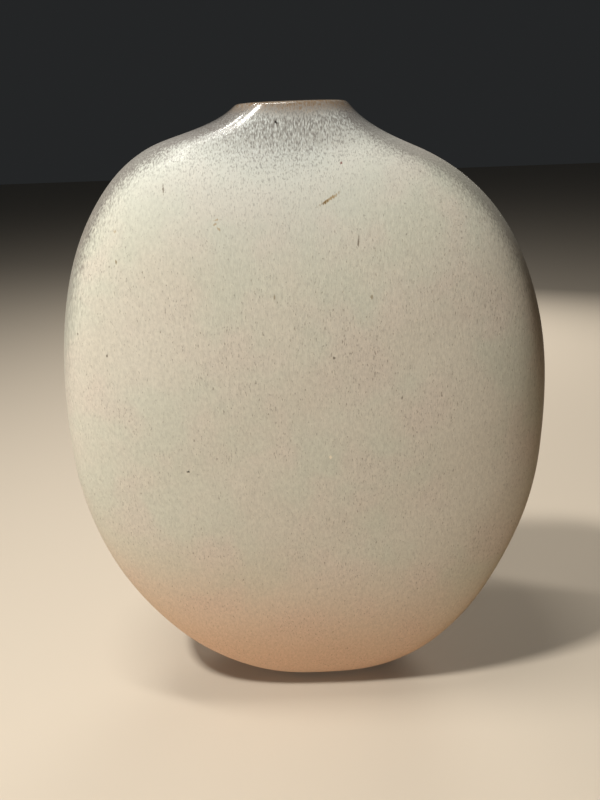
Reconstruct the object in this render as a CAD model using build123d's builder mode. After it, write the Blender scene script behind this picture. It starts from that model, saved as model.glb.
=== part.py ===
from build123d import *

import os
from collections import namedtuple
from math import cos, radians, sin

# Glazed stoneware pillow vase, put together from pressed shells, a collar and a foot ring.
# Millimetres, +Z up, the front faces -Y, the origin is on the table under the middle of the vase.
# The outline sizes are measured on the outside of the glaze.

# Overall size
height = 320.0
belly_reach = 124.0
belly_depth = 44.0
belly_level = 153.2
floor_level = 4.0

# Left side of the outline: its shoulder is the fuller and higher one
left_floor_reach = 15.9
left_root_reach = 60.8
left_root_level = 306.2
left_root_slope = 18.0
left_rim_reach = 26.5
left_rim_slope = 40.7
left_lower_fullness = 0.51
left_upper_fullness = 0.58

# Right side of the outline
right_floor_reach = 36.2
right_root_reach = 53.9
right_root_level = 300.4
right_root_slope = 23.2
right_rim_reach = 22.4
right_rim_slope = 51.5
right_lower_fullness = 0.49
right_upper_fullness = 0.61

# Front and back, the same on both sides of the parting plane
floor_depth = 20.0
root_depth = 26.0
root_depth_level = 300.0
root_depth_slope = 62.0
rim_depth = 19.0
rim_depth_slope = 58.0
depth_lower_fullness = 0.55
depth_upper_fullness = 0.72

# Level sections: how far the flat of the face and of the end carry towards the corner
face_fullness = 0.90
end_fullness = 0.75
rim_fullness = 0.70
oval_start_level = 292.0

# Layers
glaze = 0.7
clay_wall = 5.0
slip = 0.4
lip_radius = 2.4

# Joints between the pieces of clay
lap = 6.0
collar_joint_level = 310.0
coil_thickness = 3.0
coil_width = 16.0
coil_bed = 0.05
collar_coil_above = 3.0
collar_coil_below = 6.0

# Foot ring
foot_margin = 16.0
foot_depth = 17.5
foot_width = 7.0
foot_fullness = 0.62
foot_chamfer = 0.8
bare_margin = 2.0

# Number of level sections along each stretch of the outline
lower_steps = 9
upper_steps = 10
neck_steps = 6

# Times a stretch of the outline is halved when a level is looked up on it
halvings = 40

vessel_wall = glaze + clay_wall + glaze
clay_top = height - glaze
spigot_level = collar_joint_level - lap
bench = 4 * height

Side = namedtuple("Side", "floor belly root root_level root_slope rim rim_slope lower upper")
left_side = Side(left_floor_reach, belly_reach, left_root_reach, left_root_level, left_root_slope,
                 left_rim_reach, left_rim_slope, left_lower_fullness, left_upper_fullness)
right_side = Side(right_floor_reach, belly_reach, right_root_reach, right_root_level, right_root_slope,
                  right_rim_reach, right_rim_slope, right_lower_fullness, right_upper_fullness)
face_side = Side(floor_depth, belly_depth, root_depth, root_depth_level, root_depth_slope,
                 rim_depth, rim_depth_slope, depth_lower_fullness, depth_upper_fullness)


def direction(slope):
    """Unit step up the outline towards the axis, at a slope in degrees from level."""
    return Vector(-cos(radians(slope)), sin(radians(slope)))


def stretches(side, inset):
    """Control points of the outline below the belly, up to the neck root and up to the rim.

    X is the reach from the axis and Y the level. The inset moves the outline into the wall."""
    root_step = direction(side.root_slope)
    rim_step = direction(side.rim_slope + (90 - side.rim_slope) * inset / vessel_wall)
    floor_end = Vector(side.floor, floor_level + inset)
    belly_end = Vector(side.belly - inset, belly_level)
    root_end = Vector(side.root, side.root_level) - Vector(root_step.Y, -root_step.X) * inset
    rim_end = Vector(side.rim - inset, height)
    lower_run = (belly_end - floor_end) * side.lower
    upper_rise = (root_end.Y - belly_end.Y) * side.upper
    upper_run = (belly_end.X - root_end.X) * side.upper
    neck_run = (rim_end - root_end).length / 3
    return (
        (floor_end, floor_end + Vector(lower_run.X, 0), belly_end - Vector(0, lower_run.Y), belly_end),
        (belly_end, belly_end + Vector(0, upper_rise), root_end - root_step * upper_run, root_end),
        (root_end, root_end + root_step * neck_run, rim_end - rim_step * neck_run, rim_end),
    )


def along(stretch, share):
    """Point of a cubic Bezier stretch at a share of its parameter."""
    start, start_handle, end_handle, end = stretch
    rest = 1 - share
    return (start * rest**3 + start_handle * (3 * rest**2 * share)
            + end_handle * (3 * rest * share**2) + end * share**3)


def reach_at(side, inset, level):
    """Reach of an outline at a level, found by halving the stretch that spans it."""
    stretch = next((each for each in stretches(side, inset) if level <= each[3].Y), None)
    if stretch is None:
        return side.rim - inset
    low, high = 0.0, 1.0
    for _ in range(halvings):
        middle = (low + high) / 2
        if along(stretch, middle).Y < level:
            low = middle
        else:
            high = middle
    return along(stretch, high).X


def section_levels(inset):
    """Levels of the sections, spaced along the right side from the floor to the rim."""
    levels = [floor_level + inset]
    for stretch, steps in zip(stretches(right_side, inset), (lower_steps, upper_steps, neck_steps)):
        levels += [along(stretch, step / steps).Y for step in range(1, steps + 1)]
    return levels


def pillow(level, left, right, depth, face, end):
    """Face at a level, bounded by four quarter curves that are flatter on the faces than at the ends.

    The quarters stay four edges, so that a loft has a face in front and behind on each side."""
    corners = [(right, -depth), (right, depth), (-left, depth), (-left, -depth)]
    quarters = []
    for side_reach, side_depth in corners:
        front_points = [(0, side_depth, level), (face * side_reach, side_depth, level)]
        end_points = [(side_reach, end * side_depth, level), (side_reach, 0, level)]
        quarters.append(Bezier(*front_points, *end_points))
    return Face(Wire(quarters))


def fullness_at(level, body_fullness):
    """Fullness of a section, eased from the body's to the rim's above the shoulder."""
    share = min(max((level - oval_start_level) / (height - oval_start_level), 0), 1)
    return body_fullness + (rim_fullness - body_fullness) * share**2 * (3 - 2 * share)


def form(inset, rise=0.0):
    """Solid of the whole vase with its surface inset into the wall, carried on above the rim by rise."""
    sections = []
    for level in section_levels(inset):
        left, right, depth = (reach_at(side, inset, level) for side in (left_side, right_side, face_side))
        sections.append(pillow(level, left, right, depth, fullness_at(level, face_fullness),
                               fullness_at(level, end_fullness)))
    with BuildPart() as body:
        loft(sections)
        if rise:
            extrude(body.faces().sort_by(Axis.Z)[-1], amount=rise)
    return body.part


def block(front, back, bottom, top):
    """Cutting block between two depths and two levels, wider than the vase."""
    with BuildPart() as cutter:
        with Locations((0, (front + back) / 2, (bottom + top) / 2)):
            Box(bench, back - front, top - bottom)
    return cutter.part


def foot_oval(growth, top):
    """Upright oval from the table to a level, larger than the foot ring's outside by growth."""
    reach = (left_floor_reach + right_floor_reach) / 2 + foot_margin + growth
    outline = pillow(0, reach, reach, foot_depth + growth, foot_fullness, foot_fullness)
    middle = (right_floor_reach - left_floor_reach) / 2
    with BuildPart() as oval:
        extrude(outline.moved(Location((middle, 0, 0))), amount=top)
    return oval.part


# Nested surfaces of the wall, from the outside in
outside = form(0)
clay_outside = form(glaze)
lap_outside = form(glaze + clay_wall / 2 - slip / 2, rise=height)
lap_inside = form(glaze + clay_wall / 2 + slip / 2, rise=height)
clay_inside = form(glaze + clay_wall, rise=height)
liner_inside = form(vessel_wall, rise=height)
coil_outside = form(glaze + clay_wall + coil_bed, rise=height)
coil_inside = form(glaze + clay_wall + coil_thickness, rise=height)
coil_liner_inside = form(vessel_wall + coil_thickness, rise=height)

# The whole clay wall, with its rounded lip
with BuildPart() as clay_body:
    add(clay_outside)
    split(bisect_by=Plane.XY.offset(clay_top), keep=Keep.BOTTOM)
    add(clay_inside, mode=Mode.SUBTRACT)
    fillet(clay_body.edges().group_by(Axis.Z)[-1], radius=lip_radius - glaze)

# Neck collar: the clay above the joint, with a spigot on the inner half of the wall
with BuildPart() as collar_seat:
    add(block(-bench, bench, 0, collar_joint_level + slip / 2))
    add(lap_inside, mode=Mode.SUBTRACT)
with BuildPart() as neck_collar:
    add(clay_body.part)
    add(block(-bench, bench, spigot_level, bench), mode=Mode.INTERSECT)
    add(collar_seat.part, mode=Mode.SUBTRACT)

# The clay below the collar, with a rebate for the spigot
with BuildPart() as spigot_room:
    add(lap_outside)
    add(block(-bench, bench, spigot_level - slip, bench), mode=Mode.INTERSECT)
with BuildPart() as shell_body:
    add(clay_body.part)
    add(block(-bench, bench, 0, collar_joint_level - slip / 2), mode=Mode.INTERSECT)
    add(spigot_room.part, mode=Mode.SUBTRACT)

# Front shell: everything in front of the parting plane, with a tongue on the inner half of its edge
with BuildPart() as tongue:
    add(shell_body.part)
    add(lap_inside, mode=Mode.INTERSECT)
    add(block(-lap, lap, 0, bench), mode=Mode.INTERSECT)
with BuildPart() as front_shell:
    add(shell_body.part)
    add(block(-bench, -slip / 2, 0, bench), mode=Mode.INTERSECT)
    add(tongue.part)

# Back shell: everything behind the parting plane, with a rebate for the tongue
with BuildPart() as tongue_room:
    add(lap_outside)
    add(block(0, lap + slip, 0, bench), mode=Mode.INTERSECT)
with BuildPart() as back_shell:
    add(shell_body.part)
    add(block(slip / 2, bench, 0, bench), mode=Mode.INTERSECT)
    add(tongue_room.part, mode=Mode.SUBTRACT)

# Joining slip: what fills the lap of the seam and the lap of the collar
with BuildPart() as seam_slip:
    add(shell_body.part)
    add(front_shell.part, mode=Mode.SUBTRACT)
    add(back_shell.part, mode=Mode.SUBTRACT)
with BuildPart() as collar_slip:
    add(clay_body.part)
    add(neck_collar.part, mode=Mode.SUBTRACT)
    add(shell_body.part, mode=Mode.SUBTRACT)


def pressed_coil(skin, core, front, back, bottom, top):
    """Flat band of clay on the inside of the wall, between two nested surfaces."""
    with BuildPart() as band:
        add(skin)
        add(block(front, back, bottom, top), mode=Mode.INTERSECT)
        add(core, mode=Mode.SUBTRACT)
    return band


# Coils pressed over the seam and over the collar joint from the inside, and the room that each takes
half_coil = coil_width / 2
collar_coil_bottom = spigot_level - collar_coil_below
collar_coil_top = spigot_level + collar_coil_above
seam_coil_space = (-half_coil, half_coil, 0, collar_coil_bottom)
collar_coil_space = (-bench, bench, collar_coil_bottom, collar_coil_top)
seam_coil = pressed_coil(coil_outside, coil_inside, *seam_coil_space)
collar_coil = pressed_coil(coil_outside, coil_inside, *collar_coil_space)
seam_coil_room = pressed_coil(clay_inside, coil_inside, *seam_coil_space)
collar_coil_room = pressed_coil(clay_inside, coil_inside, *collar_coil_space)
glazed_half_coil = half_coil + glaze
glazed_seam_coil = pressed_coil(clay_inside, coil_liner_inside,
                                -glazed_half_coil, glazed_half_coil, 0, collar_coil_bottom)
glazed_collar_coil = pressed_coil(clay_inside, coil_liner_inside, -bench, bench,
                                  collar_coil_bottom - glaze, collar_coil_top + glaze)

# Glaze: the finished vessel less its clay, parted along the crest of the lip
with BuildPart() as water_space:
    add(liner_inside)
    add(glazed_seam_coil.part, mode=Mode.SUBTRACT)
    add(glazed_collar_coil.part, mode=Mode.SUBTRACT)
with BuildPart() as vessel:
    add(outside)
    add(water_space.part, mode=Mode.SUBTRACT)
    fillet(vessel.edges().group_by(Axis.Z)[-1], radius=lip_radius)
with BuildPart() as glaze_coat:
    add(vessel.part)
    add(clay_body.part, mode=Mode.SUBTRACT)
    add(seam_coil_room.part, mode=Mode.SUBTRACT)
    add(collar_coil_room.part, mode=Mode.SUBTRACT)
foot_top = floor_level + foot_margin
with BuildPart() as outer_glaze:
    add(glaze_coat.part)
    add(lap_inside, mode=Mode.SUBTRACT)
    add(foot_oval(bare_margin, foot_top), mode=Mode.SUBTRACT)
with BuildPart() as inner_glaze:
    add(glaze_coat.part)
    add(lap_inside, mode=Mode.INTERSECT)

# Foot ring on its bed of slip, following the curve of the floor
foot_bed = form(glaze - slip)
with BuildPart() as foot_blank:
    add(foot_oval(0, foot_top))
    add(foot_oval(-foot_width, foot_top), mode=Mode.SUBTRACT)
    chamfer(foot_blank.edges().group_by(Axis.Z)[0], length=foot_chamfer)
with BuildPart() as foot_ring:
    add(foot_blank.part)
    add(foot_bed, mode=Mode.SUBTRACT)
with BuildPart() as foot_slip:
    add(foot_blank.part)
    add(foot_bed, mode=Mode.INTERSECT)
    add(clay_outside, mode=Mode.SUBTRACT)

pieces = {
    "front_shell": front_shell,
    "back_shell": back_shell,
    "neck_collar": neck_collar,
    "foot_ring": foot_ring,
    "seam_slip": seam_slip,
    "collar_slip": collar_slip,
    "foot_slip": foot_slip,
    "seam_coil": seam_coil,
    "collar_coil": collar_coil,
    "outer_glaze": outer_glaze,
    "inner_glaze": inner_glaze,
}
os.makedirs("parts", exist_ok=True)
for name, piece in pieces.items():
    piece.part.label = name
    export_step(piece.part, f"parts/{name}.step")
    print(name, len(piece.part.solids()), round(piece.part.volume))
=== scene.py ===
"""Looks of a glazed stoneware pillow vase, dressed over its packed construction.

The two glaze coats are surfaces on grids that follow the form of the construction. The clay pieces under
them keep their own meshes and get a fired clay finish. Sizes are in millimetres and become metres in the
meshes."""
from collections import namedtuple

import bpy
import numpy as np
from mathutils import Matrix, Vector


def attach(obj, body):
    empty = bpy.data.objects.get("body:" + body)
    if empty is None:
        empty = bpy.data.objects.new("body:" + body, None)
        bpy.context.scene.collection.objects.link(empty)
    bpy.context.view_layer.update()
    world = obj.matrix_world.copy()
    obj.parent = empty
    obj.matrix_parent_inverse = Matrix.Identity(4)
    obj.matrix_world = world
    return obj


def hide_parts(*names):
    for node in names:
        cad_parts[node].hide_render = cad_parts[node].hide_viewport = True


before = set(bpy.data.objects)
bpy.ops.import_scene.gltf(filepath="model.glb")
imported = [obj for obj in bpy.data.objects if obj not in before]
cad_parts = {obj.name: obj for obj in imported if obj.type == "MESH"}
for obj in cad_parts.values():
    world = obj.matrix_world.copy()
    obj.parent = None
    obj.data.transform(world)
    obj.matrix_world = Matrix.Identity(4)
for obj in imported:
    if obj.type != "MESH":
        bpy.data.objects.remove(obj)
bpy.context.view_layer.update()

mm = 0.001

# Overall size of the form, measured on the outside of the glaze
height = 320.0
belly_reach = 124.0
belly_depth = 44.0
belly_level = 153.2
floor_level = 4.0

# Each side of the outline: reach at the floor, the belly, the root of the neck and the rim, the root's level,
# the slopes at the root and at the rim in degrees from level, and how full the curve is below and above
# the belly
Side = namedtuple("Side", "floor belly root root_level root_slope rim rim_slope lower upper")
left_side = Side(15.9, belly_reach, 60.8, 306.2, 18.0, 26.5, 40.7, 0.51, 0.58)
right_side = Side(36.2, belly_reach, 53.9, 300.4, 23.2, 22.4, 51.5, 0.49, 0.61)
face_side = Side(20.0, belly_depth, 26.0, 300.0, 62.0, 19.0, 58.0, 0.55, 0.72)

# Level sections: how far the flat of the face and of the end carry towards the corner
face_fullness = 0.90
end_fullness = 0.75
rim_fullness = 0.70
oval_start_level = 292.0

# Wall, lip, foot and the coils pressed over the joints inside
vessel_wall = 6.4
lip_radius = 2.4
foot_margin = 16.0
foot_depth = 17.5
foot_fullness = 0.62
bare_margin = 2.0
coil_thickness = 3.0
seam_coil_half_width = 8.7
collar_coil_bottom = 297.3
collar_coil_top = 307.7
coil_edge = 2.5

# Slow unevenness of a hand-pressed wall: crossed waves of 30 to 90 mm, that die out over the last share of
# the rows below the lip
Wave = namedtuple("Wave", "size across up phase depth_phase")
waves = [
    Wave(0.11, 0.072, 0.031, 0.9, 0.3),
    Wave(0.09, -0.045, 0.083, 2.1, 1.1),
    Wave(0.06, 0.128, 0.066, 4.0, 0.4),
    Wave(0.05, 0.090, -0.150, 1.3, 2.2),
]
depth_wave = 0.03
smooth_share = 1 / 12

# Grids of the glaze coats
glaze_body = 0.4
quarter_steps = 86
outer_rows = 212
lip_rows = 14
crown_rows = 3
hidden_row_step = 4
liner_quarter_steps = 40
liner_rows = 90
floor_rows = 12
outline_steps = 600

# Colours of the fired glazes and clays
cream = "#c9c6b9"
green_cream = "#c2c6b8"
pink_cream = "#cdc4b9"
# peach_cream stands partly for the glaze's blush and partly for painted warm bounce light near the foot
peach_cream = "#cfa683"
milk_blue = "#c3c9c6"
neck_grey = "#8f9190"
bead_pale = "#cdd4d2"
dash_grey = "#777572"
fleck_brown = "#5f5346"
# edge_mauve stands for the glaze run thin over the edges and for painted edge shade
edge_mauve = "#5b5552"
lip_brown = "#75634f"
liner_dark = "#5d4635"
clay_buff = "#8a7058"
slip_buff = "#7d654f"
grog_dark = "#5a4433"
floor_pale = "#cdc2b2"
floor_bounce = "#b3926c"

# Sizes of what the glazes and clays show
cloud_size = 48.0
blush_size = 30.0
# peach_top, peach_bottom and peach_tilt place the peach blush and the painted warm bounce light
peach_top = 125.0
peach_bottom = 10.0
peach_tilt = 0.2
dash_width = 0.55
dash_squash = 0.2
speckle_width = 1.2
speckle_squash = 0.5
speckle_height = 0.07
fleck_width = 0.5
fleck_squash = 0.25
streak_width = 0.7
streak_squash = 0.1
milk_reach = 85.0
milk_full = 20.0
mottle_reach = 38.0
mottle_full = 10.0
mottle_tilt = 0.18
dash_reach = 58.0
dash_full = 12.0
# Levels and reaches of the mauve edges, which are partly thin glaze and partly painted edge shade
edge_bottom = 170.0
edge_top = 285.0
edge_left = -30.0
edge_right = 60.0
lip_band = 6.5
lip_fade = 4.0
lip_wander = 2.5
peel_size = 2.4
peel_height = 0.06
dash_height = 0.05
grog_size = 1.6
slip_grain = 0.8
clay_tooth = 0.12

# Gloss: the coat is shiny at the lip and satin below, over these ways down from the lip
satin_start = 8.0
satin_end = 35.0
shine_start = 6.0
shine_end = 26.0
texture_end = 30.0
lip_roughness = 0.1
body_roughness = 0.55
lip_shine = 0.8
body_shine = 0.03
lip_texture = 0.1
shine_roughness = 0.1
glaze_specular = 0.18
liner_roughness = 0.3
clay_roughness = 0.85
floor_roughness = 0.8

# Marks of the firing on the front: middle, half width, half height, lean in degrees, strength and colour
Mark = namedtuple("Mark", "place across up lean strength colour")
ochre = "#92794a"
stain = "#9c835a"
olive = "#7a6a48"
speck = "#6e665a"
pinhole = "#241f1c"
ochre_dark = "#6f5a34"
rust = "#6e3a36"
pale_bead = "#e6dec8"
mark_depth = 8.0
marks = [
    Mark((12.6, -32.8, 282.0), 4.6, 0.75, 30, 0.8, ochre),
    Mark((10.4, -33.2, 280.8), 1.9, 0.6, 30, 0.75, ochre_dark),
    Mark((-35.2, -34.3, 275.4), 1.4, 0.4, 8, 0.6, stain),
    Mark((-35.6, -34.5, 273.7), 1.0, 0.4, 25, 0.6, stain),
    Mark((-34.2, -34.8, 271.6), 1.2, 0.45, -50, 0.6, stain),
    Mark((24.2, -36.5, 264.8), 0.45, 2.4, 0, 0.8, speck),
    Mark((-56.9, -28.4, 287.6), 0.4, 2.0, 0, 0.8, speck),
    Mark((17.7, -27.9, 295.6), 0.65, 0.65, 0, 0.9, rust),
    Mark((-8.6, -22.0, 312.0), 0.7, 0.6, 0, 0.9, pinhole),
    Mark((-58.0, -42.4, 160.1), 0.7, 0.6, 0, 0.95, pinhole),
    Mark((13.0, -42.2, 215.4), 0.6, 0.6, 0, 0.8, speck),
    Mark((-103.3, -29.3, 227.0), 0.6, 0.6, 0, 0.8, speck),
    Mark((-89.7, -35.8, 218.1), 0.5, 0.7, 0, 0.8, speck),
    Mark((29.7, -39.7, 241.8), 0.7, 1.2, 0, 0.6, olive),
    Mark((-12.3, -39.8, 243.2), 0.5, 1.3, 0, 0.6, olive),
    Mark((43.8, -42.5, 194.8), 0.5, 1.2, 0, 0.8, speck),
    Mark((-80.0, -32.1, 259.2), 0.5, 1.1, 0, 0.8, olive),
    Mark((-79.5, -29.0, 271.5), 0.8, 0.7, 0, 0.5, stain),
    Mark((10.7, -43.9, 166.1), 1.0, 0.9, 0, 0.9, pale_bead),
]

# Camera, as the photographed outline gives it
sensor_size = 36.0
focal_length = 27.0
camera_place = (-2.88, -294.7, 305.0)
camera_pitch = 23.43
camera_roll = 2.09

# Lamps, the surround and the floor
Lamp = namedtuple("Lamp", "name place target width length power mirrored")
vase_middle = (0, 0, height / 2)
lamps = [
    Lamp("key_lamp", (-430, -255, 1075), (-40, -20, 300), 80, 80, 9.6, True),
    Lamp("top_lamp", (-210, -40, 1080), (-33, -105, 320), 40, 400, 4, True),
    Lamp("low_lamp", (-390, -590, 110), vase_middle, 300, 300, 2.7, True),
    Lamp("back_lamp", (330, 800, 520), vase_middle, 500, 500, 4, False),
]
lamp_white = "#fffaf2"
surround_grey = "#6b6e70"
surround_strength = 0.12
floor_half_width = 6000.0

Grid = namedtuple("Grid", "share right back")


def slope_step(slope):
    """Unit step up an outline towards the axis, at a slope in degrees from level."""
    return np.array([-np.cos(np.radians(slope)), np.sin(np.radians(slope))])


def bezier(points, share):
    """Cubic Bezier: four points weighted by (1-s)^3, 3(1-s)^2 s, 3(1-s) s^2 and s^3."""
    rest = 1 - share
    weights = np.stack([rest**3, 3 * rest**2 * share, 3 * rest * share**2, share**3], -1)
    return weights @ np.array(points, float)


def outline(side, inset):
    """Reach and level along one side of the form, with its surface moved into the wall by the inset.

    Three Beziers run end to end: from the flat of the floor out to the belly, from there in to the root of
    the neck, and up to the rim."""
    root_step = slope_step(side.root_slope)
    rim_step = slope_step(side.rim_slope + (90 - side.rim_slope) * inset / vessel_wall)
    floor_end = np.array([side.floor, floor_level + inset])
    belly_end = np.array([side.belly - inset, belly_level])
    root_end = np.array([side.root, side.root_level]) - np.array([root_step[1], -root_step[0]]) * inset
    rim_end = np.array([side.rim - inset, height])
    lower_run = (belly_end - floor_end) * side.lower
    upper_rise = np.array([0, (root_end[1] - belly_end[1]) * side.upper])
    upper_run = root_step * (belly_end[0] - root_end[0]) * side.upper
    neck_run = np.linalg.norm(rim_end - root_end) / 3
    stretches = [
        (floor_end, floor_end + (lower_run[0], 0), belly_end - (0, lower_run[1]), belly_end),
        (belly_end, belly_end + upper_rise, root_end - upper_run, root_end),
        (root_end, root_end + root_step * neck_run, rim_end - rim_step * neck_run, rim_end),
    ]
    share = np.linspace(0, 1, outline_steps)
    line = np.concatenate([bezier(stretch, share) for stretch in stretches])
    return line[:, 0], line[:, 1]


def reach_at(side, inset, level):
    """Reach of one side of the form at each level, read off its outline."""
    reach, rise = outline(side, inset)
    return np.interp(level, rise, reach)


def fullness_at(level, body_fullness):
    """Fullness of a section, eased from the body's to the rim's above the shoulder."""
    share = np.clip((level - oval_start_level) / (height - oval_start_level), 0, 1)
    return body_fullness + (rim_fullness - body_fullness) * share**2 * (3 - 2 * share)


def around(steps):
    """Columns of a grid, once round from the middle of the front by the right side, the back and the left.

    Each quarter runs from the middle of a face to the middle of an end. Its shares are spaced evenly along
    the section at the belly."""
    fine = np.linspace(0, 1, outline_steps)
    corner = [(0, belly_depth), (face_fullness * belly_reach, belly_depth),
              (belly_reach, end_fullness * belly_depth), (belly_reach, 0)]
    line = bezier(corner, fine)
    travel = np.append(0, np.cumsum(np.linalg.norm(np.diff(line, axis=0), axis=1)))
    even = np.interp(np.arange(steps) / steps * travel[-1], travel, fine)
    back_to_front = np.append(1, even[:0:-1])
    share = np.concatenate([even, back_to_front, even, back_to_front])
    ones = np.ones(steps)
    right = np.concatenate([ones, ones, -ones, -ones])
    back = np.concatenate([-ones, ones, ones, -ones])
    return Grid(share, right, back)


def section(reach, depth, face, end, columns):
    """Points of a level section: a quarter runs as a Bezier from (0, depth) with its handle at (face *
    reach, depth) to (reach, 0) with its handle at (reach, end * depth)."""
    share = columns.share
    rest = 1 - share
    along = reach * (3 * rest**2 * share * face + 3 * rest * share**2 + share**3)
    across = depth * (rest**3 + 3 * rest**2 * share + 3 * rest * share**2 * end)
    return columns.right * along, columns.back * across


def wall(level, columns, inset=0.0):
    """Points of the form at each level and column, with its surface moved into the wall by the inset."""
    left = reach_at(left_side, inset, level)
    right = reach_at(right_side, inset, level)
    depth = reach_at(face_side, inset, level)
    reach = np.where(columns.right > 0, right, left)
    face = fullness_at(level, face_fullness)
    end = fullness_at(level, end_fullness)
    x, y = section(reach, depth, face, end, columns)
    return np.stack([x, y, level + 0 * x], -1)


def normals_of(points):
    """Unit normals of a grid that closes round its columns: the cross product of its two tangents."""
    across = np.roll(points, -1, 1) - np.roll(points, 1, 1)
    along = np.gradient(points, axis=0)
    normal = np.cross(across, along)
    return normal / np.maximum(np.linalg.norm(normal, axis=-1, keepdims=True), 1e-9)


def glaze_start(columns):
    """Level at which each column leaves the bare oval round the foot: the oval's radius about its own middle
    is read at the angle of the column's points, and the level is where they first pass it."""
    middle = (right_side.floor - left_side.floor) / 2
    reach = (right_side.floor + left_side.floor) / 2 + foot_margin + bare_margin
    depth = foot_depth + bare_margin
    oval_x, oval_y = section(reach, depth, foot_fullness, foot_fullness, around(quarter_steps))
    level = np.linspace(floor_level, floor_level + 2 * foot_margin, outline_steps)[:, None]
    points = wall(level, columns)
    angle = np.arctan2(points[..., 1], points[..., 0] - middle)
    radius = np.hypot(points[..., 0] - middle, points[..., 1])
    oval_angle = np.arctan2(oval_y, oval_x)
    order = np.argsort(oval_angle)
    bound = np.interp(angle, oval_angle[order], np.hypot(oval_x, oval_y)[order], period=2 * np.pi)
    first = np.argmax(radius > bound, axis=0)
    return level[first, 0]


def lip_turn(columns):
    """Rim points, level outward directions and the slope at which the outer wall comes up to the rim."""
    step = 0.5
    rim = wall(np.full((1, 1), height), columns)[0]
    below = wall(np.full((1, 1), height - step), columns)[0]
    tangent = np.roll(rim, -1, 0) - np.roll(rim, 1, 0)
    outward = np.stack([tangent[:, 1], -tangent[:, 0], 0 * tangent[:, 0]], -1)
    outward /= np.linalg.norm(outward, axis=-1, keepdims=True)
    lean = ((below - rim) * outward).sum(-1) / step
    return rim, outward, np.arctan2(1, lean)


def rounded_corner(rim, outward, start_in, start_drop, end_in, end_drop, turn):
    """Arc over one corner of the rim, as a Bezier with handles of 4/3 tan(turn/4) radii along both tangents.

    A point lies inwards of the rim by its first number and under it by its second."""
    handle = 4 / 3 * np.tan(turn / 4) * lip_radius
    reach = np.hypot(start_in, start_drop)
    other = np.hypot(end_in, end_drop)
    ends = [(start_in, start_drop), (start_in * (1 - handle / reach), start_drop * (1 - handle / reach)),
            (end_in * (1 - handle / other), end_drop * (1 - handle / other)), (end_in, end_drop)]
    share = np.linspace(0, 1, lip_rows)[:, None]
    rest = 1 - share
    weights = (rest**3, 3 * rest**2 * share, 3 * rest * share**2, share**3)
    inwards = sum(weight * end[0] for weight, end in zip(weights, ends))
    drop = sum(weight * end[1] for weight, end in zip(weights, ends))
    return rim - outward * inwards[..., None] - np.array([0, 0, 1]) * drop[..., None]


def crown(rim, outward, start_in, end_in):
    """Flat of the lip between two distances inwards from the rim, both ends left out."""
    share = np.linspace(0, 1, crown_rows + 2)[1:-1, None]
    inwards = start_in + (end_in - start_in) * share
    return rim - outward * inwards[..., None]


def hand_waviness(points):
    """Unevenness of the wall at each point, in millimetres."""
    x, y, z = points[..., 0], points[..., 1], points[..., 2]
    return sum(wave.size * np.sin(wave.across * x + wave.up * z + wave.phase)
               * np.cos(depth_wave * y + wave.depth_phase) for wave in waves)


def grid_faces(rows, columns, start=0, joined=False):
    """Quads of a grid that closes round its columns, and from its last row to its first if joined."""
    row = np.arange(rows if joined else rows - 1)[:, None]
    column = np.arange(columns)[None, :]
    following = (column + 1) % columns
    above = (row + 1) % rows
    corners = [row * columns + column, row * columns + following,
               above * columns + following, above * columns + column]
    return start + np.stack(np.broadcast_arrays(*corners), -1).reshape(-1, 4)


def mesh_piece(name, points, faces, attributes=None):
    """Mesh object from points in millimetres, quads or triangles, and named numbers for each point."""
    mesh = bpy.data.meshes.new(name)
    mesh.from_pydata((points.reshape(-1, 3) * mm).tolist(), [], [list(map(int, face)) for face in faces])
    mesh.polygons.foreach_set("use_smooth", np.ones(len(mesh.polygons), bool))
    for label, values in (attributes or {}).items():
        numbers = mesh.attributes.new(label, "FLOAT", "POINT")
        numbers.data.foreach_set("value", values.ravel().astype(np.float32))
    mesh.update()
    piece = bpy.data.objects.new(name, mesh)
    bpy.context.scene.collection.objects.link(piece)
    return piece


def outer_coat():
    """Outer glaze: the form's surface from the bare oval round the foot to the crest of the lip, and a hidden
    side a hair under it, joined into one closed skin.

    Each point keeps its way down from the lip, in millimetres, and how far its normal turns from the broad
    faces."""
    columns = around(quarter_steps)
    reach, rise = outline(right_side, 0)
    travel = np.append(0, np.cumsum(np.hypot(np.diff(reach), np.diff(rise))))
    rim, outward, slope = lip_turn(columns)
    setback = lip_radius * np.tan(slope / 2)
    top = height - setback * np.sin(slope)
    start = np.interp(glaze_start(columns), rise, travel)
    end = np.interp(top, rise, travel)
    share = np.linspace(0, 1, outer_rows)[:, None]
    level = np.interp(start + (end - start) * share, travel, rise)
    side = wall(level, columns)
    uneven = hand_waviness(side) * np.clip((1 - share) / smooth_share, 0, 1)
    side = side + normals_of(side) * uneven[..., None]
    start_in = -setback * np.cos(slope)
    start_drop = setback * np.sin(slope)
    corner = rounded_corner(rim, outward, start_in, start_drop, setback, 0 * setback, slope)
    flat = crown(rim, outward, setback, vessel_wall / 2)
    skin = np.concatenate([side, corner[1:], flat])
    normal = normals_of(skin)
    step = np.linalg.norm(np.diff(skin, axis=0), axis=-1)
    way_down = np.concatenate([np.cumsum(step[::-1], axis=0)[::-1], np.zeros((1, step.shape[1]))])
    hidden = np.concatenate([skin[:1], skin[hidden_row_step:-1:hidden_row_step], skin[-1:]])
    hidden_normal = np.concatenate([normal[:1], normal[hidden_row_step:-1:hidden_row_step], normal[-1:]])
    hidden_way = np.concatenate([way_down[:1], way_down[hidden_row_step:-1:hidden_row_step], way_down[-1:]])
    points = np.concatenate([skin, (hidden - hidden_normal * glaze_body)[::-1]])
    turn = 1 - np.abs(np.concatenate([normal, hidden_normal[::-1]])[..., 1])
    faces = grid_faces(len(points), points.shape[1], joined=True)
    return mesh_piece("outer_glaze_coat", points, faces,
                      {"below_lip": np.concatenate([way_down, hidden_way[::-1]]), "edge_turn": turn})


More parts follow.
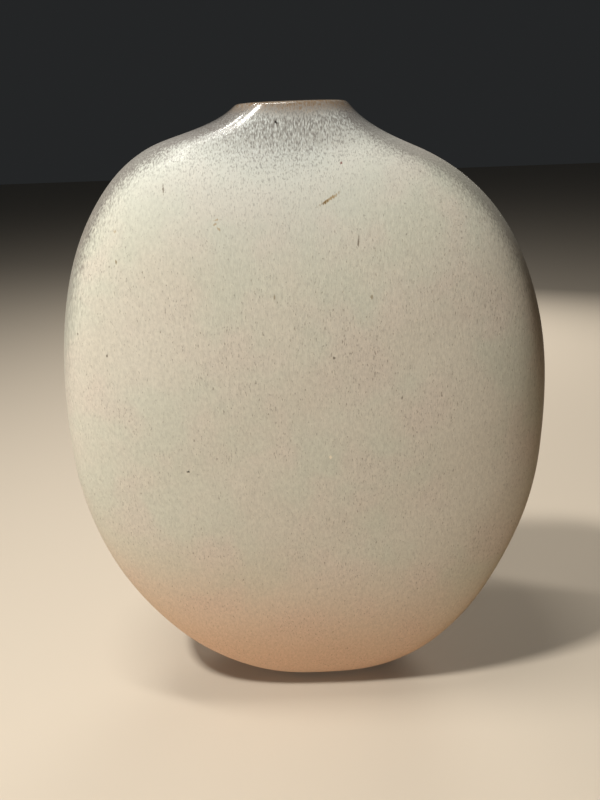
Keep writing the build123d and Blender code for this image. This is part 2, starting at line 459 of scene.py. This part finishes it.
def liner_coat():
    """Liner glaze: from the crest of the lip over its inner corner, down the wall and over the floor.

    Where a coil is pressed over a joint the surface stands in from the wall by the coil's thickness, eased
    over its edges. The side against the clay lies a hair behind it, and both close at the middle of the
    floor."""
    columns = around(liner_quarter_steps)
    rim, outward, slope = lip_turn(columns)
    upright = np.full(len(slope), np.pi / 2)
    radius = np.full(len(slope), lip_radius)
    inner_edge = np.full(len(slope), vessel_wall)
    flat = crown(rim, outward, inner_edge / 2, inner_edge - radius)
    flat = np.concatenate([(rim - outward * vessel_wall / 2)[None], flat])
    inner_rim = rim - outward * vessel_wall
    bent = rounded_corner(inner_rim, outward, -radius, 0 * radius, 0 * radius, radius, upright)
    floor_inside = floor_level + vessel_wall
    share = np.linspace(0, 1, liner_rows)[1:, None]
    level = floor_inside + (height - lip_radius - floor_inside) * (0.5 + 0.5 * np.cos(np.pi * share))
    plain = wall(level, columns, vessel_wall)
    padded = wall(np.maximum(level, floor_inside + coil_thickness), columns, vessel_wall + coil_thickness)
    beside_seam = (seam_coil_half_width - np.abs(plain[..., 1:2])) / coil_edge
    in_collar = np.minimum(plain[..., 2:] - collar_coil_bottom, collar_coil_top - plain[..., 2:]) / coil_edge
    below_collar = (collar_coil_top - plain[..., 2:]) / coil_edge
    stand = np.clip(np.maximum(np.minimum(beside_seam, below_collar), in_collar) + 0.5, 0, 1)
    stand = stand**2 * (3 - 2 * stand)
    side = plain * (1 - stand) + padded * stand
    middle = side[-1].mean(0)
    across = np.linspace(1, 0, floor_rows)[1:-1, None, None]
    floor = middle + (side[-1] - middle) * across
    skin = np.concatenate([flat, bent, side, floor])
    behind = skin - normals_of(skin) * glaze_body
    rows, width = skin.shape[:2]
    count = rows * width
    poles = np.stack([middle, middle - (0, 0, glaze_body)])
    column = np.arange(width)
    following = (column + 1) % width
    last = (rows - 1) * width
    front = grid_faces(rows, width)
    back = grid_faces(rows, width, count)[:, ::-1]
    crest = np.stack([following, column, count + column, count + following], -1)
    front_fan = np.stack([last + column, last + following, np.full(width, 2 * count)], -1)
    back_fan = np.stack([count + last + following, count + last + column, np.full(width, 2 * count + 1)], -1)
    points = np.concatenate([skin.reshape(-1, 3), behind.reshape(-1, 3), poles])
    faces = [*front, *back, *crest, *front_fan, *back_fan]
    return mesh_piece("liner_glaze_coat", points, faces)


def linear(hex_colour):
    """Linear red, green and blue, with full alpha, of an sRGB hex colour."""
    parts = np.array([int(hex_colour[at:at + 2], 16) for at in (1, 3, 5)]) / 255
    spread = np.where(parts <= 0.04045, parts / 12.92, ((parts + 0.055) / 1.055) ** 2.4)
    return (*spread.tolist(), 1.0)


def add(tree, kind, links=None, out=0, **settings):
    """Add a node, set its own settings, set or link its inputs by name or number, and give one output."""
    made = tree.nodes.new("ShaderNode" + kind)
    for name, value in settings.items():
        setattr(made, name, value)
    for name, value in (links or {}).items():
        if isinstance(value, bpy.types.NodeSocket):
            tree.links.new(value, made.inputs[name])
        else:
            made.inputs[name].default_value = value
    return None if out is None else made.outputs[out]


def new_material(name):
    """Empty node material and its tree."""
    material = bpy.data.materials.new(name)
    material.use_nodes = True
    material.node_tree.nodes.clear()
    return material, material.node_tree


def in_millimetres(tree):
    """Place on the piece in millimetres."""
    place = add(tree, "TexCoord", out="Object")
    return add(tree, "VectorMath", {0: place, "Scale": 1 / mm}, operation="SCALE")


def finish_material(material, tree, colour, roughness, bumps, depth, **gloss):
    """Principled surface from a colour, a roughness and a chain of bumps, each a height and its size in mm.

    The depth is the share of that size that shows."""
    normal = None
    for height_map, size in bumps:
        links = {"Height": height_map, "Distance": size * mm, "Strength": depth}
        if normal is not None:
            links["Normal"] = normal
        normal = add(tree, "Bump", links)
    shader = add(tree, "BsdfPrincipled", {"Base Color": colour, "Roughness": roughness, "Normal": normal,
                                          "Coat Normal": normal, **gloss})
    add(tree, "OutputMaterial", {"Surface": shader}, out=None)
    return material


def cream_clouds(tree, place):
    """Milky cream that drifts between a greener and a pinker tone, and turns peach towards the foot, higher
    on
    the left: partly the glaze's own blush, partly painted warm bounce light.
    """
    drift = add(tree, "TexNoise", {"Vector": place, "Scale": 1 / cloud_size, "Detail": 3.0})
    blush = add(tree, "TexNoise", {"Vector": place, "Scale": 1 / blush_size, "Detail": 2.0})
    green_share = add(tree, "MapRange", {"Value": drift, "From Min": 0.42, "From Max": 0.62, "To Max": 0.65},
                      interpolation_type="SMOOTHSTEP")
    pink_share = add(tree, "MapRange", {"Value": blush, "From Min": 0.45, "From Max": 0.68, "To Max": 0.5},
                     interpolation_type="SMOOTHSTEP")
    # Peach low on the body, reaching higher on the left: partly blush of the glaze, partly painted warm
    # bounce light
    tilted = add(tree, "VectorMath", {0: place, 1: (peach_tilt, 0, 1)}, out="Value", operation="DOT_PRODUCT")
    peach_and_bounce_share = add(tree, "MapRange", {"Value": tilted, "From Min": peach_top, "From Max": peach_bottom,
                                         "To Max": 0.75}, interpolation_type="SMOOTHSTEP")
    colour = add(tree, "Mix", {0: green_share, 6: linear(cream), 7: linear(green_cream)}, out=2,
                 data_type="RGBA")
    colour = add(tree, "Mix", {0: pink_share, 6: colour, 7: linear(pink_cream)}, out=2, data_type="RGBA")
    return add(tree, "Mix", {0: peach_and_bounce_share, 6: colour, 7: linear(peach_cream)}, out=2, data_type="RGBA")


def fine_speckle(tree, colour, speckle, flecks, patches):
    """Fine light and dark grain of the glaze, with iron flecks drawn out down the wall, in patches."""
    shade = add(tree, "MapRange", {"Value": speckle, "From Min": 0.35, "From Max": 0.65, "To Min": 0.9,
                                   "To Max": 1.06})
    colour = add(tree, "Mix", {0: 1.0, 6: colour, 7: shade}, out=2, data_type="RGBA", blend_type="MULTIPLY")
    start = add(tree, "MapRange", {"Value": patches, "From Min": 0.35, "From Max": 0.65, "To Min": 0.68,
                                   "To Max": 0.62})
    over = add(tree, "Math", {0: flecks, 1: start}, operation="SUBTRACT")
    fleck = add(tree, "MapRange", {"Value": over, "From Min": 0.0, "From Max": 0.1, "To Max": 0.5},
                interpolation_type="SMOOTHSTEP")
    return add(tree, "Mix", {0: fleck, 6: colour, 7: linear(fleck_brown)}, out=2, data_type="RGBA")


def neck_mottle(tree, colour, grain, below_lip):
    """Grey mottle under the lip: dark dashes and pale beads lie close there and thin out below
    into milky blue and cream."""
    milk_share = add(tree, "MapRange", {"Value": below_lip, "From Min": milk_reach, "From Max": milk_full,
                                        "To Max": 0.6}, interpolation_type="SMOOTHSTEP")
    colour = add(tree, "Mix", {0: milk_share, 6: colour, 7: linear(milk_blue)}, out=2, data_type="RGBA")
    near = add(tree, "MapRange", {"Value": below_lip, "From Min": mottle_reach, "From Max": mottle_full},
               interpolation_type="SMOOTHSTEP")
    grey_share = add(tree, "Math", {0: near, 1: 0.75}, operation="MULTIPLY")
    colour = add(tree, "Mix", {0: grey_share, 6: colour, 7: linear(neck_grey)}, out=2, data_type="RGBA")
    bead = add(tree, "MapRange", {"Value": grain, "From Min": 0.46, "From Max": 0.36, "To Max": 0.75},
               interpolation_type="SMOOTHSTEP")
    bead_share = add(tree, "Math", {0: bead, 1: near}, operation="MULTIPLY")
    colour = add(tree, "Mix", {0: bead_share, 6: colour, 7: linear(bead_pale)}, out=2, data_type="RGBA")
    start = add(tree, "MapRange", {"Value": below_lip, "From Min": mottle_full, "From Max": dash_reach,
                                   "To Min": 0.50, "To Max": 0.60})
    over = add(tree, "Math", {0: grain, 1: start}, operation="SUBTRACT")
    strength = add(tree, "MapRange", {"Value": below_lip, "From Min": dash_full, "From Max": dash_reach,
                                      "To Min": 0.75, "To Max": 0.15}, interpolation_type="SMOOTHSTEP")
    dash = add(tree, "MapRange", {"Value": over, "From Min": 0.0, "From Max": 0.12},
               interpolation_type="SMOOTHSTEP")
    dash_share = add(tree, "Math", {0: dash, 1: strength}, operation="MULTIPLY")
    return add(tree, "Mix", {0: dash_share, 6: colour, 7: linear(dash_grey)}, out=2, data_type="RGBA")


def thin_glaze_and_shaded_edges(tree, colour, streaks, edge_turn, place, level):
    """Mauve grey over the turned edges, with a streaky border: partly the glaze run thin there and partly
    painted edge shade. Strongest at the left shoulder, softer at the right."""
    ragged = add(tree, "MapRange", {"Value": streaks, "From Min": 0.3, "From Max": 0.7, "To Min": -0.1,
                                    "To Max": 0.1})
    turn = add(tree, "Math", {0: edge_turn, 1: ragged}, operation="ADD")
    # Share of mauve grows as the edge turns from the front: thin glaze and painted edge shade together
    thin = add(tree, "MapRange", {"Value": turn, "From Min": 0.09, "From Max": 0.45},
               interpolation_type="SMOOTHSTEP")
    high = add(tree, "MapRange", {"Value": level, "From Min": edge_bottom, "From Max": edge_top,
                                  "To Min": 0.05, "To Max": 0.9}, interpolation_type="SMOOTHSTEP")
    rightward = add(tree, "SeparateXYZ", {0: place}, out="X")
    sideways = add(tree, "MapRange", {"Value": rightward, "From Min": edge_left, "From Max": edge_right,
                                      "To Min": 1.0, "To Max": 0.75})
    share = add(tree, "Math", {0: thin, 1: high}, operation="MULTIPLY")
    share = add(tree, "Math", {0: share, 1: sideways}, operation="MULTIPLY")
    lines = add(tree, "MapRange", {"Value": streaks, "From Min": 0.35, "From Max": 0.65, "To Min": 0.72})
    share = add(tree, "Math", {0: share, 1: lines}, operation="MULTIPLY")
    return add(tree, "Mix", {0: share, 6: colour, 7: linear(edge_mauve)}, out=2, data_type="RGBA")


def brown_lip(tree, colour, grain, streaks, below_lip):
    """Iron brown of the body, showing where the glaze drew back from the lip, misted and faded out below."""
    wander = add(tree, "MapRange", {"Value": grain, "From Min": 0.3, "From Max": 0.7, "To Min": -lip_wander,
                                    "To Max": lip_wander})
    down = add(tree, "Math", {0: below_lip, 1: wander}, operation="ADD")
    share = add(tree, "MapRange", {"Value": down, "From Min": lip_band + lip_fade,
                                   "From Max": lip_band - lip_fade}, interpolation_type="SMOOTHSTEP")
    misted = add(tree, "MapRange", {"Value": streaks, "From Min": 0.4, "From Max": 0.68, "To Max": 0.55})
    brown = add(tree, "Mix", {0: misted, 6: linear(lip_brown), 7: linear(neck_grey)}, out=2,
                data_type="RGBA")
    return add(tree, "Mix", {0: share, 6: colour, 7: brown}, out=2, data_type="RGBA")


def firing_marks(tree, colour, place, grain):
    """Small stains, pinholes and specks left by the firing, each a soft leaning oval with a broken border."""
    border = add(tree, "MapRange", {"Value": grain, "From Min": 0.3, "From Max": 0.7, "To Min": 0.45,
                                    "To Max": -0.45})
    for mark in marks:
        turned = (0, np.radians(-mark.lean), 0)
        within = add(tree, "Mapping", {"Vector": place, "Location": mark.place, "Rotation": turned,
                                       "Scale": (mark.across, mark_depth, mark.up)}, vector_type="TEXTURE")
        distance = add(tree, "VectorMath", {0: within}, out="Value", operation="LENGTH")
        broken = add(tree, "Math", {0: distance, 1: border}, operation="ADD")
        share = add(tree, "MapRange", {"Value": broken, "From Min": 1.2, "From Max": 0.4,
                                       "To Max": mark.strength}, interpolation_type="SMOOTHSTEP")
        colour = add(tree, "Mix", {0: share, 6: colour, 7: linear(mark.colour)}, out=2, data_type="RGBA")
    return colour


def outer_glaze():
    """Satin stoneware glaze: cream clouds turning peach towards the foot (partly painted warm bounce light),
    grey mottle, mauve edges of thin glaze and painted edge shade and a brown lip, over an orange-peel skin."""
    material, tree = new_material("satin_stoneware_glaze")
    place = in_millimetres(tree)
    level = add(tree, "SeparateXYZ", {0: place}, out="Z")
    below_lip = add(tree, "Attribute", out="Fac", attribute_name="below_lip")
    edge_turn = add(tree, "Attribute", out="Fac", attribute_name="edge_turn")
    flow = add(tree, "VectorMath", {0: place, 1: (1, 1, dash_squash)}, operation="MULTIPLY")
    run = add(tree, "VectorMath", {0: place, 1: (1, 1, streak_squash)}, operation="MULTIPLY")
    grain = add(tree, "TexNoise", {"Vector": flow, "Scale": 1 / dash_width, "Detail": 1.0, "Roughness": 0.5})
    grained = add(tree, "VectorMath", {0: place, 1: (1, 1, speckle_squash)}, operation="MULTIPLY")
    speckle = add(tree, "TexNoise", {"Vector": grained, "Scale": 1 / speckle_width, "Detail": 3.0,
                                     "Roughness": 0.7})
    drawn = add(tree, "VectorMath", {0: place, 1: (1, 1, fleck_squash)}, operation="MULTIPLY")
    flecks = add(tree, "TexNoise", {"Vector": drawn, "Scale": 1 / fleck_width, "Detail": 1.0})
    patches = add(tree, "TexNoise", {"Vector": place, "Scale": 1 / blush_size, "Detail": 1.0})
    streaks = add(tree, "TexNoise", {"Vector": run, "Scale": 1 / streak_width, "Detail": 2.0})
    peel = add(tree, "TexNoise", {"Vector": place, "Scale": 1 / peel_size, "Detail": 2.0, "Roughness": 0.6})
    colour = cream_clouds(tree, place)
    colour = fine_speckle(tree, colour, speckle, flecks, patches)
    tilted = add(tree, "VectorMath", {0: place, 1: (mottle_tilt, 0, 0)}, out="Value",
                 operation="DOT_PRODUCT")
    mottle_way = add(tree, "Math", {0: below_lip, 1: tilted}, operation="ADD")
    colour = neck_mottle(tree, colour, grain, mottle_way)
    colour = thin_glaze_and_shaded_edges(tree, colour, streaks, edge_turn, place, level)
    colour = brown_lip(tree, colour, grain, streaks, below_lip)
    colour = firing_marks(tree, colour, place, grain)
    roughness = add(tree, "MapRange", {"Value": below_lip, "From Min": satin_start, "From Max": satin_end,
                                       "To Min": lip_roughness, "To Max": body_roughness})
    gloss = add(tree, "MapRange", {"Value": below_lip, "From Min": shine_start, "From Max": shine_end,
                                   "To Min": lip_shine, "To Max": body_shine})
    depth = add(tree, "MapRange", {"Value": below_lip, "From Min": satin_start, "From Max": texture_end,
                                   "To Min": lip_texture})
    bumps = [(peel, peel_height), (speckle, speckle_height), (grain, dash_height)]
    return finish_material(material, tree, colour, roughness, bumps, depth,
                           **{"Coat Weight": gloss, "Coat Roughness": shine_roughness,
                              "Specular IOR Level": glaze_specular})


def liner_glaze():
    """Brown satin liner: pooled darker and lighter runs down the inside, with a fine peel."""
    material, tree = new_material("brown_liner_glaze")
    place = in_millimetres(tree)
    run = add(tree, "VectorMath", {0: place, 1: (1, 1, streak_squash)}, operation="MULTIPLY")
    pooled = add(tree, "TexNoise", {"Vector": run, "Scale": 1 / blush_size, "Detail": 4.0})
    peel = add(tree, "TexNoise", {"Vector": place, "Scale": 1 / peel_size, "Detail": 2.0})
    share = add(tree, "MapRange", {"Value": pooled, "From Min": 0.35, "From Max": 0.65},
                interpolation_type="SMOOTHSTEP")
    colour = add(tree, "Mix", {0: share, 6: linear(lip_brown), 7: linear(liner_dark)}, out=2,
                 data_type="RGBA")
    return finish_material(material, tree, colour, liner_roughness, [(peel, peel_height)], 1.0)


def fired_clay(name, body_colour, grain_size):
    """Bare fired clay: dry and matt, with darker grog grains and a slow change of tone from the kiln."""
    material, tree = new_material(name)
    place = in_millimetres(tree)
    tone = add(tree, "TexNoise", {"Vector": place, "Scale": 1 / cloud_size, "Detail": 3.0})
    grains = add(tree, "TexVoronoi", {"Vector": place, "Scale": 1 / grain_size}, out="Distance")
    rough = add(tree, "TexNoise", {"Vector": place, "Scale": 1 / grain_size, "Detail": 4.0})
    grog_share = add(tree, "MapRange", {"Value": grains, "From Min": 0.28, "From Max": 0.18, "To Max": 0.7})
    tone_share = add(tree, "MapRange", {"Value": tone, "From Min": 0.35, "From Max": 0.65, "To Max": 0.35})
    colour = add(tree, "Mix", {0: tone_share, 6: linear(body_colour), 7: linear(lip_brown)}, out=2,
                 data_type="RGBA")
    colour = add(tree, "Mix", {0: grog_share, 6: colour, 7: linear(grog_dark)}, out=2, data_type="RGBA")
    return finish_material(material, tree, colour, clay_roughness, [(rough, clay_tooth)], 1.0)


def camera():
    """Camera at the photograph's place, pitched down, then rolled about its own axis."""
    lens = bpy.data.cameras.new("camera")
    lens.sensor_width = sensor_size
    lens.lens = focal_length
    view = bpy.data.objects.new("camera", lens)
    bpy.context.scene.collection.objects.link(view)
    tilt = Matrix.Rotation(np.radians(90 - camera_pitch), 4, "X")
    roll = Matrix.Rotation(np.radians(-camera_roll), 4, "Z")
    view.matrix_world = Matrix.Translation(Vector(camera_place) * mm) @ tilt @ roll
    bpy.context.scene.camera = view


def floor():
    """Plain pale paper floor: its own colour to the eye, and a warmer one in the light it throws back."""
    mesh = bpy.data.meshes.new("floor")
    half = floor_half_width * mm
    corners = [(-half, -half, 0), (half, -half, 0), (half, half, 0), (-half, half, 0)]
    mesh.from_pydata(corners, [], [(0, 1, 2, 3)])
    ground = bpy.data.objects.new("floor", mesh)
    bpy.context.scene.collection.objects.link(ground)
    material, tree = new_material("floor_paper")
    looking = add(tree, "LightPath", out="Is Camera Ray")
    mirrored = add(tree, "LightPath", out="Is Glossy Ray")
    through = add(tree, "LightPath", out="Is Transmission Ray")
    seen = add(tree, "Math", {0: looking, 1: mirrored}, operation="MAXIMUM")
    seen = add(tree, "Math", {0: seen, 1: through}, operation="MAXIMUM")
    colour = add(tree, "Mix", {0: seen, 6: linear(floor_bounce), 7: linear(floor_pale)}, out=2,
                 data_type="RGBA")
    shader = add(tree, "BsdfPrincipled", {"Base Color": colour, "Roughness": floor_roughness})
    add(tree, "OutputMaterial", {"Surface": shader}, out=None)
    mesh.materials.append(material)


def add_lamp(lamp):
    """Rectangular area lamp at a place in millimetres, turned to a target, mirrored in the glaze or not."""
    light = bpy.data.lights.new(lamp.name, "AREA")
    light.shape = "RECTANGLE"
    light.size = lamp.width * mm
    light.size_y = lamp.length * mm
    light.energy = lamp.power
    light.color = linear(lamp_white)[:3]
    holder = bpy.data.objects.new(lamp.name, light)
    holder.visible_glossy = lamp.mirrored
    bpy.context.scene.collection.objects.link(holder)
    aim = Vector(lamp.target) - Vector(lamp.place)
    turn = aim.to_track_quat("-Z", "Y").to_matrix().to_4x4()
    holder.matrix_world = Matrix.Translation(Vector(lamp.place) * mm) @ turn


def studio():
    """Small key lamp from the upper left, a long lamp that draws the line of light on the lip, a broad weak
    one from low on the left, a broad one behind for the back, and a dim even surround."""
    for lamp in lamps:
        add_lamp(lamp)
    world = bpy.data.worlds.new("surround")
    world.use_nodes = True
    background = world.node_tree.nodes["Background"]
    background.inputs["Color"].default_value = linear(surround_grey)
    background.inputs["Strength"].default_value = surround_strength
    bpy.context.scene.world = world


camera()
floor()
studio()
bpy.context.scene.view_settings.view_transform = "Standard"
stoneware = fired_clay("fired_stoneware", clay_buff, grog_size)
joining_slip = fired_clay("fired_joining_slip", slip_buff, slip_grain)
clay_nodes = ["front_shell", "back_shell", "neck_collar", "foot_ring", "seam_coil", "collar_coil"]
slip_nodes = ["seam_slip", "collar_slip", "foot_slip"]
for names, finish in ((clay_nodes, stoneware), (slip_nodes, joining_slip)):
    for name in names:
        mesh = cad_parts[name].data
        mesh.materials.clear()
        mesh.materials.append(finish)
coats = [(outer_coat(), outer_glaze(), "outer_glaze", "outer_glaze"),
         (liner_coat(), liner_glaze(), "inner_glaze", "liner_glaze")]
for coat, glaze, node, slot in coats:
    coat.data.materials.append(glaze)
    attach(coat, "root")
    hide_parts(node)
